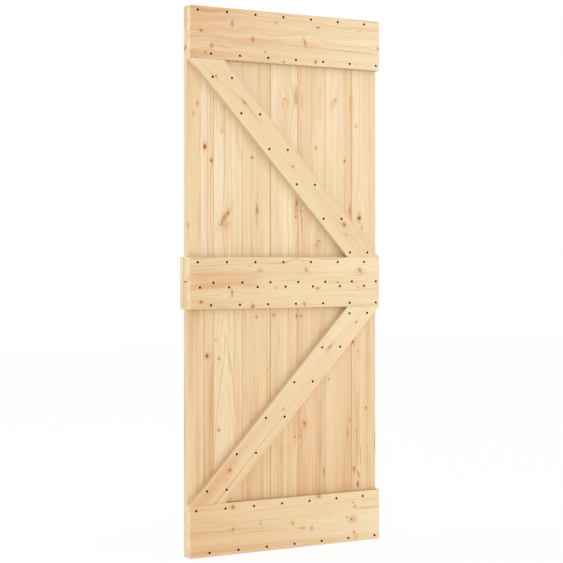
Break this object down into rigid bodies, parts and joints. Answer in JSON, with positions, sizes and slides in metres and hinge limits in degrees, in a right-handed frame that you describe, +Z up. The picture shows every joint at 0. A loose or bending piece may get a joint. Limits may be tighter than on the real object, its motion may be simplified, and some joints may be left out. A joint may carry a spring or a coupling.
{
  "type": "sliding barn door leaf",
  "caption": "Solid pine sliding barn door leaf of tongue-and-groove boards in two half panels, with face rails, a splice rail behind and slanting K braces; it hangs from a track.",
  "frame": {"origin": "centre of the top rail's front face, where the hangers bolt on", "axes": "+X across the door, to the right as seen from the front; -Y is the front, +Y towards the wall; +Z up"},
  "size_m": [0.85, 0.088, 2.1],
  "materials": {
    "board_pine": "planed, unfinished",
    "rail_pine": "planed, unfinished",
    "screw_black": "black phosphate"
  },
  "bodies": {
    "root": {"upper_board_1": "board_pine", "upper_board_2": "board_pine", "upper_board_3": "board_pine", "upper_board_4": "board_pine", "upper_board_5": "board_pine", "upper_board_6": "board_pine", "upper_board_7": "board_pine", "lower_board_1": "board_pine", "lower_board_2": "board_pine", "lower_board_3": "board_pine", "lower_board_4": "board_pine", "lower_board_5": "board_pine", "lower_board_6": "board_pine", "lower_board_7": "board_pine", "top_rail": "rail_pine", "middle_rail": "rail_pine", "bottom_rail": "rail_pine", "back_rail": "rail_pine", "upper_brace": "rail_pine", "lower_brace": "rail_pine"}
  },
  "joints": []
}
